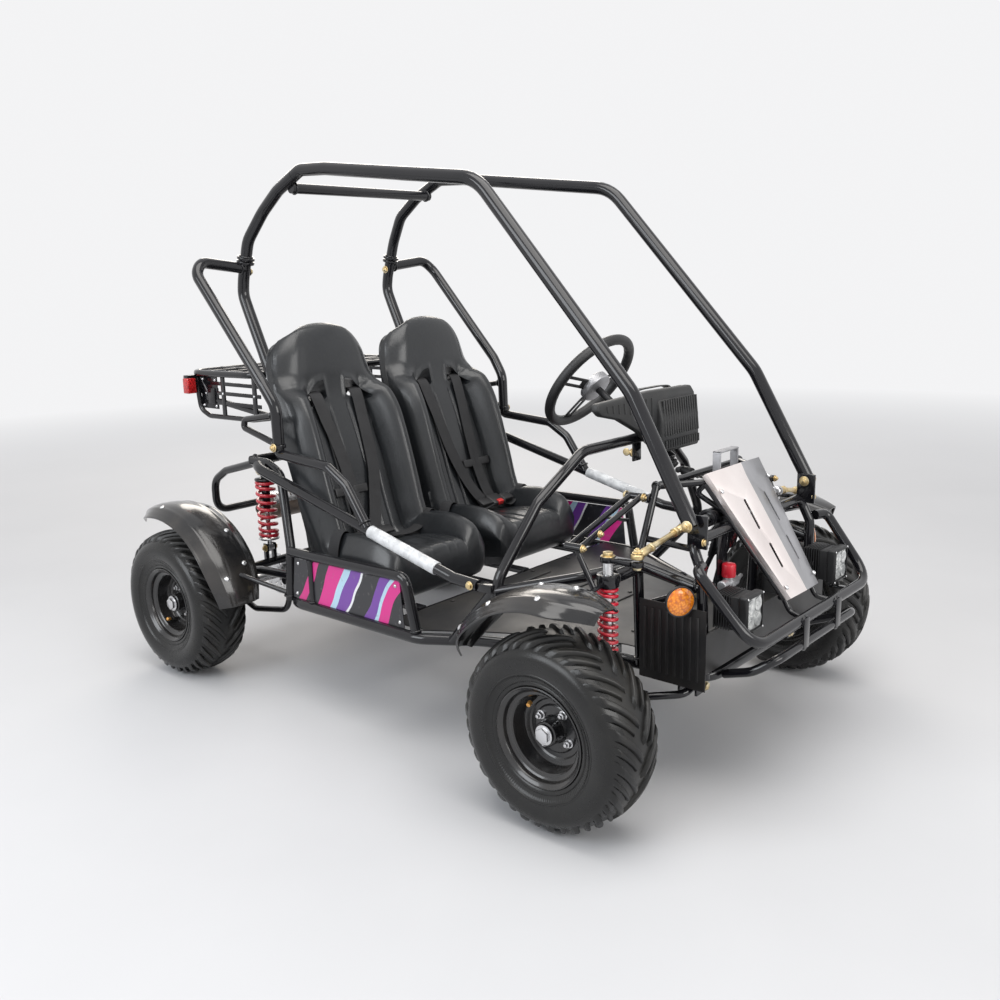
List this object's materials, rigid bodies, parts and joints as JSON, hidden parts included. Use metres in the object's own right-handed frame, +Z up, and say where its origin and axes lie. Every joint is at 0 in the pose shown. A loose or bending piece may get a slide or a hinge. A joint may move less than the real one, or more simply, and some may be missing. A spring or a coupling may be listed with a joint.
{
  "type": "racing kart",
  "caption": "Two-seat off-road racing kart: tube frame with roll cage, rack steering, sliding-kingpin front suspension, swinging rear end and rear rack",
  "frame": {"origin": "on the ground, in the middle of the overall length and width", "axes": "+Z up; the kart's front looks along -Y; its left side is +X"},
  "size_m": [1.126, 1.722, 1.2736],
  "materials": {
    "black_coat": "gloss black powder coat",
    "black_plastic": "moulded black plastic",
    "red_spring": "gloss red paint",
    "vinyl": "grained black vinyl over foam",
    "tyre": "rubber with a block tread",
    "aluminium": "brushed sheet",
    "zinc": "yellow zinc plating",
    "steel": "machined steel",
    "cast": "sand-cast alloy",
    "orange": "orange lens",
    "panel": "printed panel in magenta, violet, pale blue and black"
  },
  "bodies": {
    "chassis": {"floor_frame": "black_coat", "front_frame": "black_coat", "rear_frame": "black_coat", "floor_pan": "black_coat", "roof_hoop": "black_coat", "front_bumper": "black_coat", "nose_cowl": "aluminium", "dash_pod": "black_plastic", "rear_rack": "black_coat", "cage_rail_right": "black_coat", "cage_leg_right": "black_coat", "side_guard_right": "black_coat", "headlight_right": "black_plastic", "turn_signal_right": "orange", "seat_right": "vinyl", "side_panel_right": "panel", "front_fender_right": "black_plastic", "rear_fender_right": "black_plastic", "front_spring_right": "red_spring", "cage_rail_left": "black_coat", "cage_leg_left": "black_coat", "side_guard_left": "black_coat", "headlight_left": "black_plastic", "turn_signal_left": "orange", "seat_left": "vinyl", "side_panel_left": "panel", "front_fender_left": "black_plastic", "rear_fender_left": "black_plastic", "front_spring_left": "red_spring"},
    "steering_wheel": {"steering_wheel": "black_plastic"},
    "intermediate_shaft": {"intermediate_shaft": "steel"},
    "steering_rack": {"steering_rack": "steel"},
    "rear_swing": {"swing_arm": "black_coat", "engine": "cast"},
    "rear_axle": {"rear_axle": "steel", "rear_rim_right": "black_coat", "rear_rim_left": "black_coat", "rear_tyre_right": "tyre", "rear_tyre_left": "tyre"},
    "throttle_pedal": {"throttle_pedal": "black_coat"},
    "brake_pedal": {"brake_pedal": "black_coat"},
    "key_switch": {"key_switch": "zinc"},
    "tie_rod_right": {"tie_rod_right": "zinc"},
    "front_arm_right": {"front_arm_right": "black_coat"},
    "front_upright_right": {"front_upright_right": "black_coat"},
    "front_knuckle_right": {"front_knuckle_right": "black_coat"},
    "front_wheel_right": {"front_rim_right": "black_coat", "front_tyre_right": "tyre"},
    "rear_shock_right": {"rear_shock_right": "black_coat", "rear_spring_right": "red_spring"},
    "rear_shock_rod_right": {"rear_shock_rod_right": "steel"},
    "tie_rod_left": {"tie_rod_left": "zinc"},
    "front_arm_left": {"front_arm_left": "black_coat"},
    "front_upright_left": {"front_upright_left": "black_coat"},
    "front_knuckle_left": {"front_knuckle_left": "black_coat"},
    "front_wheel_left": {"front_rim_left": "black_coat", "front_tyre_left": "tyre"},
    "rear_shock_left": {"rear_shock_left": "black_coat", "rear_spring_left": "red_spring"},
    "rear_shock_rod_left": {"rear_shock_rod_left": "steel"}
  },
  "joints": [
    {"name": "steering", "type": "hinge", "parent": "chassis", "child": "steering_wheel", "pos_m": [0.18, -0.166, 0.744], "axis": [0, -0.7986, -0.6018], "range_deg": [-90, 90]},
    {"name": "intermediate_turn", "type": "hinge", "parent": "chassis", "child": "intermediate_shaft", "pos_m": [0.18, -0.42396, 0.54961], "axis": [-0.2305, -0.9702, -0.075], "range_deg": [-90.5, 90.5]},
    {"name": "rack_slide", "type": "slide", "parent": "chassis", "child": "steering_rack", "axis": [1, 0, 0], "range_m": [-0.0182, 0.0182]},
    {"name": "rear_swing", "type": "hinge", "parent": "chassis", "child": "rear_swing", "pos_m": [0, 0.35, 0.27], "axis": [1, 0, 0], "range_deg": [-3.6, 6.5], "stiffness_Nm_per_rad": 3400, "springref_deg": -3.32},
    {"name": "rear_axle_spin", "type": "hinge", "parent": "rear_swing", "child": "rear_axle", "pos_m": [0, 0.671, 0.19], "axis": [1, 0, 0], "continuous": true},
    {"name": "throttle", "type": "hinge", "parent": "chassis", "child": "throttle_pedal", "pos_m": [0.13, -0.51, 0.278], "axis": [1, 0, 0], "range_deg": [0, 18], "stiffness_Nm_per_rad": 4, "springref_deg": -20.05},
    {"name": "brake", "type": "hinge", "parent": "chassis", "child": "brake_pedal", "pos_m": [0.2, -0.51, 0.278], "axis": [1, 0, 0], "range_deg": [0, 15], "stiffness_Nm_per_rad": 8, "springref_deg": -17.19},
    {"name": "key_turn", "type": "hinge", "parent": "chassis", "child": "key_switch", "pos_m": [0.045, -0.38, 0.605], "axis": [0, 1, 0], "range_deg": [0, 90]},
    {"name": "tie_rod_right_swing", "type": "hinge", "parent": "steering_rack", "child": "tie_rod_right", "pos_m": [-0.203, -0.66, 0.523], "axis": [0, 1, 0], "range_deg": [-5, 11.2]},
    {"name": "front_arm_right_swing", "type": "hinge", "parent": "chassis", "child": "front_arm_right", "pos_m": [-0.19, -0.585, 0.205], "axis": [0, 1, 0], "range_deg": [-6.2, 14.1]},
    {"name": "front_suspension_right", "type": "slide", "parent": "chassis", "child": "front_upright_right", "axis": [0, 0, 1], "range_m": [-0.012, 0.028], "stiffness_N_per_m": 15000, "springref_m": -0.012, "deforming": ["front_spring_right"]},
    {"name": "front_steer_right", "type": "hinge", "parent": "front_upright_right", "child": "front_knuckle_right", "pos_m": [-0.35, -0.585, 0.19], "axis": [0, 0, 1], "range_deg": [-16, 16]},
    {"name": "front_wheel_right_spin", "type": "hinge", "parent": "front_knuckle_right", "child": "front_wheel_right", "pos_m": [-0.491, -0.571, 0.19], "axis": [1, 0, 0], "continuous": true},
    {"name": "rear_shock_right_swing", "type": "hinge", "parent": "chassis", "child": "rear_shock_right", "pos_m": [-0.24, 0.612, 0.505], "axis": [1, 0, 0], "range_deg": [-0.9, 0.6]},
    {"name": "rear_shock_right_stroke", "type": "slide", "parent": "rear_shock_right", "child": "rear_shock_rod_right", "axis": [0, 0, 1], "range_m": [-0.0168, 0.0302], "deforming": ["rear_spring_right"]},
    {"name": "tie_rod_left_swing", "type": "hinge", "parent": "steering_rack", "child": "tie_rod_left", "pos_m": [0.203, -0.66, 0.523], "axis": [0, -1, 0], "range_deg": [-5, 11.2]},
    {"name": "front_arm_left_swing", "type": "hinge", "parent": "chassis", "child": "front_arm_left", "pos_m": [0.19, -0.585, 0.205], "axis": [0, -1, 0], "range_deg": [-6.2, 14.1]},
    {"name": "front_suspension_left", "type": "slide", "parent": "chassis", "child": "front_upright_left", "axis": [0, 0, 1], "range_m": [-0.012, 0.028], "stiffness_N_per_m": 15000, "springref_m": -0.012, "deforming": ["front_spring_left"]},
    {"name": "front_steer_left", "type": "hinge", "parent": "front_upright_left", "child": "front_knuckle_left", "pos_m": [0.35, -0.585, 0.19], "axis": [0, 0, 1], "range_deg": [-16, 16]},
    {"name": "front_wheel_left_spin", "type": "hinge", "parent": "front_knuckle_left", "child": "front_wheel_left", "pos_m": [0.491, -0.571, 0.19], "axis": [1, 0, 0], "continuous": true},
    {"name": "rear_shock_left_swing", "type": "hinge", "parent": "chassis", "child": "rear_shock_left", "pos_m": [0.24, 0.612, 0.505], "axis": [1, 0, 0], "range_deg": [-0.9, 0.6]},
    {"name": "rear_shock_left_stroke", "type": "slide", "parent": "rear_shock_left", "child": "rear_shock_rod_left", "axis": [0, 0, 1], "range_m": [-0.0168, 0.0302], "deforming": ["rear_spring_left"]}
  ],
  "couplings": [
    {"joint": "intermediate_turn", "follows": "steering", "ratio": 1},
    {"joint": "rack_slide", "follows": "steering", "m_per_rad": -0.0115},
    {"joint": "front_steer_right", "follows": "steering", "ratio": -0.17692},
    {"joint": "front_arm_right_swing", "follows": "front_suspension_right", "rad_per_m": 8.6},
    {"joint": "tie_rod_right_swing", "follows": "front_suspension_right", "rad_per_m": 6.8},
    {"joint": "rear_shock_right_swing", "follows": "rear_swing", "ratio": -0.13},
    {"joint": "rear_shock_right_stroke", "follows": "rear_swing", "m_per_rad": 0.2615},
    {"joint": "front_steer_left", "follows": "steering", "ratio": -0.17692},
    {"joint": "front_arm_left_swing", "follows": "front_suspension_left", "rad_per_m": 8.6},
    {"joint": "tie_rod_left_swing", "follows": "front_suspension_left", "rad_per_m": 6.8},
    {"joint": "rear_shock_left_swing", "follows": "rear_swing", "ratio": -0.13},
    {"joint": "rear_shock_left_stroke", "follows": "rear_swing", "m_per_rad": 0.2615}
  ]
}
